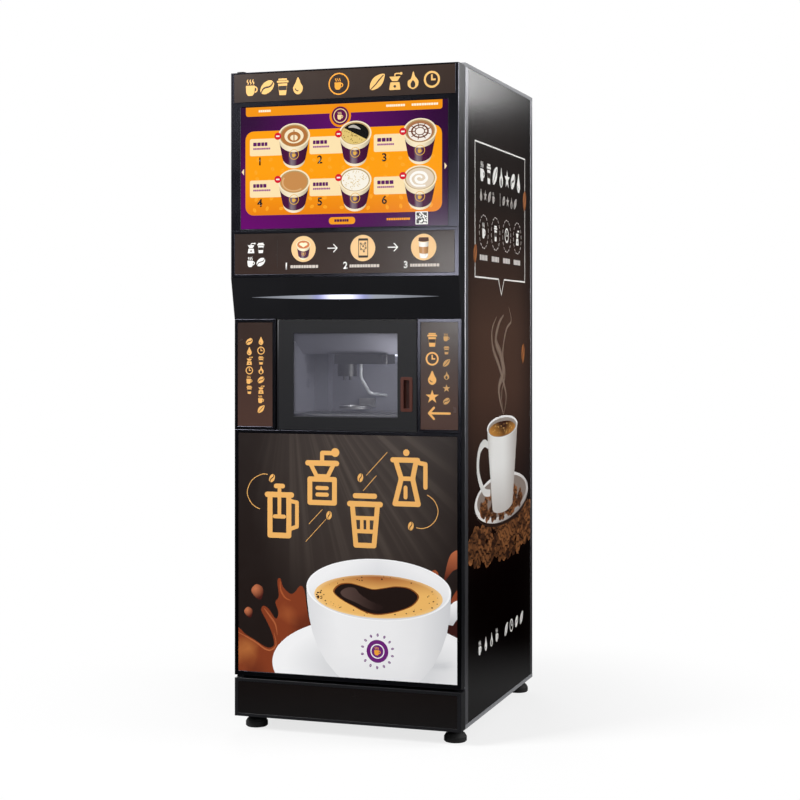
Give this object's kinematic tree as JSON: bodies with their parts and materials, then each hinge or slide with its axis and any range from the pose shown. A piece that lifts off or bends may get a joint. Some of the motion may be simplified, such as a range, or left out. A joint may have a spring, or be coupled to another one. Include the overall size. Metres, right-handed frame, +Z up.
{
  "type": "hot coffee vending machine",
  "caption": "Tall floor-standing coffee vending cabinet with a display door, smoked cup door, bean, powder and cup supply, brewer, water bottle and levelling feet.",
  "frame": {"origin": "on the floor under the centre of the machine's outline", "axes": "+X to the right of a person facing the machine, +Y to its back, +Z up"},
  "size_m": [0.656, 0.808, 1.83],
  "materials": {
    "brown_panel": "glossy printed acrylic",
    "black_frame": "semi-gloss black powder coat",
    "black_plastic": "satin moulded",
    "side_graphic": "satin printed film on sheet",
    "grey_sheet": "satin",
    "aluminium_post": "brushed",
    "display": "glossy",
    "white_lens": "glossy, lit from behind",
    "smoked_glass": "polished",
    "bronze_trim": "glossy",
    "steel": "brushed",
    "chamber_liner": "satin",
    "silicone": "matt translucent",
    "rubber_black": "matt",
    "white_plastic": "satin",
    "clear_brown": "glossy",
    "canister_clear": "glossy",
    "brass_fittings": "satin",
    "bottle_blue": "clear glossy",
    "boiler_jacket": "matt foam",
    "box_grey": "satin",
    "bin_black": "satin"
  },
  "bodies": {
    "cabinet": {"base_tray": "black_frame", "side_panel_left": "side_graphic", "side_panel_right": "side_graphic", "back_panel": "grey_sheet", "top_panel": "black_frame", "corner_posts": "aluminium_post", "plinth_housing": "black_frame", "plinth_panel": "brown_panel", "shelves": "grey_sheet", "door_pivots": "steel", "cup_chamber": "chamber_liner", "nozzle_housing": "chamber_liner", "rinse_hose": "silicone", "door_latch": "steel", "cup_dropper": "white_plastic", "brewer_body": "white_plastic", "grinder_housing": "aluminium_post", "bean_hopper": "clear_brown", "grounds_chute": "bin_black", "powder_canisters": "canister_clear", "mixing_bowls": "black_plastic", "boiler": "boiler_jacket", "water_pump": "brass_fittings", "control_box": "box_grey", "water_bottle": "bottle_blue", "grounds_bin": "bin_black", "power_inlet": "bin_black"},
    "door": {"door_frame": "aluminium_post", "door_liner": "grey_sheet", "door_gasket": "rubber_black", "upper_fascia": "black_frame", "header_panel": "brown_panel", "display_panel": "display", "steps_panel": "brown_panel", "panel_trims": "black_frame", "sign_panels": "brown_panel", "poster_trim": "black_frame", "poster_panel": "brown_panel", "light_band": "black_plastic", "light_lens": "white_lens"},
    "cup_door": {"cup_door_panel": "black_plastic", "cup_door_window": "smoked_glass", "cup_door_pull": "bronze_trim", "cup_door_pins": "steel"},
    "latch_hook": {"latch_hook": "steel"},
    "hopper_lid": {"hopper_lid": "black_plastic"},
    "grinder_burr": {"grinder_burr": "steel"},
    "brew_piston": {"brew_piston": "black_plastic"},
    "brewer_gear": {"brewer_gear": "brass_fittings"},
    "cup_turret": {"cup_turret": "white_plastic"},
    "auger_left": {"auger_left": "white_plastic"},
    "auger_right": {"auger_right": "white_plastic"},
    "drip_tray": {"drip_tray": "bin_black", "drip_grille": "steel"},
    "cup_carrier": {"cup_carrier": "black_plastic"},
    "exhaust_fan": {"exhaust_fan": "bin_black"},
    "foot_front_left": {"foot_front_left": "rubber_black"},
    "foot_front_right": {"foot_front_right": "rubber_black"},
    "foot_rear_left": {"foot_rear_left": "rubber_black"},
    "foot_rear_right": {"foot_rear_right": "rubber_black"}
  },
  "joints": [
    {"name": "main_door_swing", "type": "hinge", "parent": "cabinet", "child": "door", "pos_m": [-0.316, -0.362, 0.988], "axis": [0, 0, -1], "range_deg": [0, 105]},
    {"name": "cup_door_swing", "type": "hinge", "parent": "door", "child": "cup_door", "pos_m": [-0.196, -0.371, 0.989], "axis": [0, 0, -1], "range_deg": [0, 95]},
    {"name": "latch_hook_turn", "type": "hinge", "parent": "cabinet", "child": "latch_hook", "pos_m": [0.27, -0.302, 0.814], "axis": [-1, 0, 0], "range_deg": [0, 40]},
    {"name": "hopper_lid_lift", "type": "hinge", "parent": "cabinet", "child": "hopper_lid", "pos_m": [-0.228, -0.111, 1.5705], "axis": [-1, 0, 0], "range_deg": [0, 80]},
    {"name": "grinder_burr_spin", "type": "hinge", "parent": "cabinet", "child": "grinder_burr", "pos_m": [-0.228, -0.21, 1.315], "axis": [0, 0, 1], "continuous": true},
    {"name": "brewer_gear_turn", "type": "hinge", "parent": "cabinet", "child": "brewer_gear", "pos_m": [-0.228, -0.176, 1.228], "axis": [0, 0, 1], "range_deg": [0, 540]},
    {"name": "brew_piston_slide", "type": "slide", "parent": "cabinet", "child": "brew_piston", "axis": [0, 0, -1], "range_m": [0, 0.03]},
    {"name": "cup_turret_spin", "type": "hinge", "parent": "cabinet", "child": "cup_turret", "pos_m": [0.16067, -0.10483, 1.298], "axis": [0, 0, 1], "continuous": true},
    {"name": "auger_left_spin", "type": "hinge", "parent": "cabinet", "child": "auger_left", "pos_m": [-0.093, -0.216, 1.294], "axis": [0, 1, 0], "continuous": true},
    {"name": "auger_right_spin", "type": "hinge", "parent": "cabinet", "child": "auger_right", "pos_m": [-0.012, -0.216, 1.294], "axis": [0, 1, 0], "continuous": true},
    {"name": "drip_tray_slide", "type": "slide", "parent": "cabinet", "child": "drip_tray", "axis": [0, -1, 0], "range_m": [0, 0.028]},
    {"name": "cup_carrier_slide", "type": "slide", "parent": "cabinet", "child": "cup_carrier", "axis": [1, 0, 0], "range_m": [0, 0.15]},
    {"name": "exhaust_fan_spin", "type": "hinge", "parent": "cabinet", "child": "exhaust_fan", "pos_m": [-0.164, 0.3865, 1.64], "axis": [0, 1, 0], "continuous": true},
    {"name": "foot_front_left_turn", "type": "hinge", "parent": "cabinet", "child": "foot_front_left", "pos_m": [-0.291, -0.308, 0.02], "axis": [0, 0, 1], "continuous": true},
    {"name": "foot_front_right_turn", "type": "hinge", "parent": "cabinet", "child": "foot_front_right", "pos_m": [0.291, -0.308, 0.02], "axis": [0, 0, 1], "continuous": true},
    {"name": "foot_rear_left_turn", "type": "hinge", "parent": "cabinet", "child": "foot_rear_left", "pos_m": [-0.291, 0.367, 0.02], "axis": [0, 0, 1], "continuous": true},
    {"name": "foot_rear_right_turn", "type": "hinge", "parent": "cabinet", "child": "foot_rear_right", "pos_m": [0.291, 0.367, 0.02], "axis": [0, 0, 1], "continuous": true}
  ],
  "couplings": [
    {"joint": "brewer_gear_turn", "follows": "brew_piston_slide", "rad_per_m": 314}
  ]
}
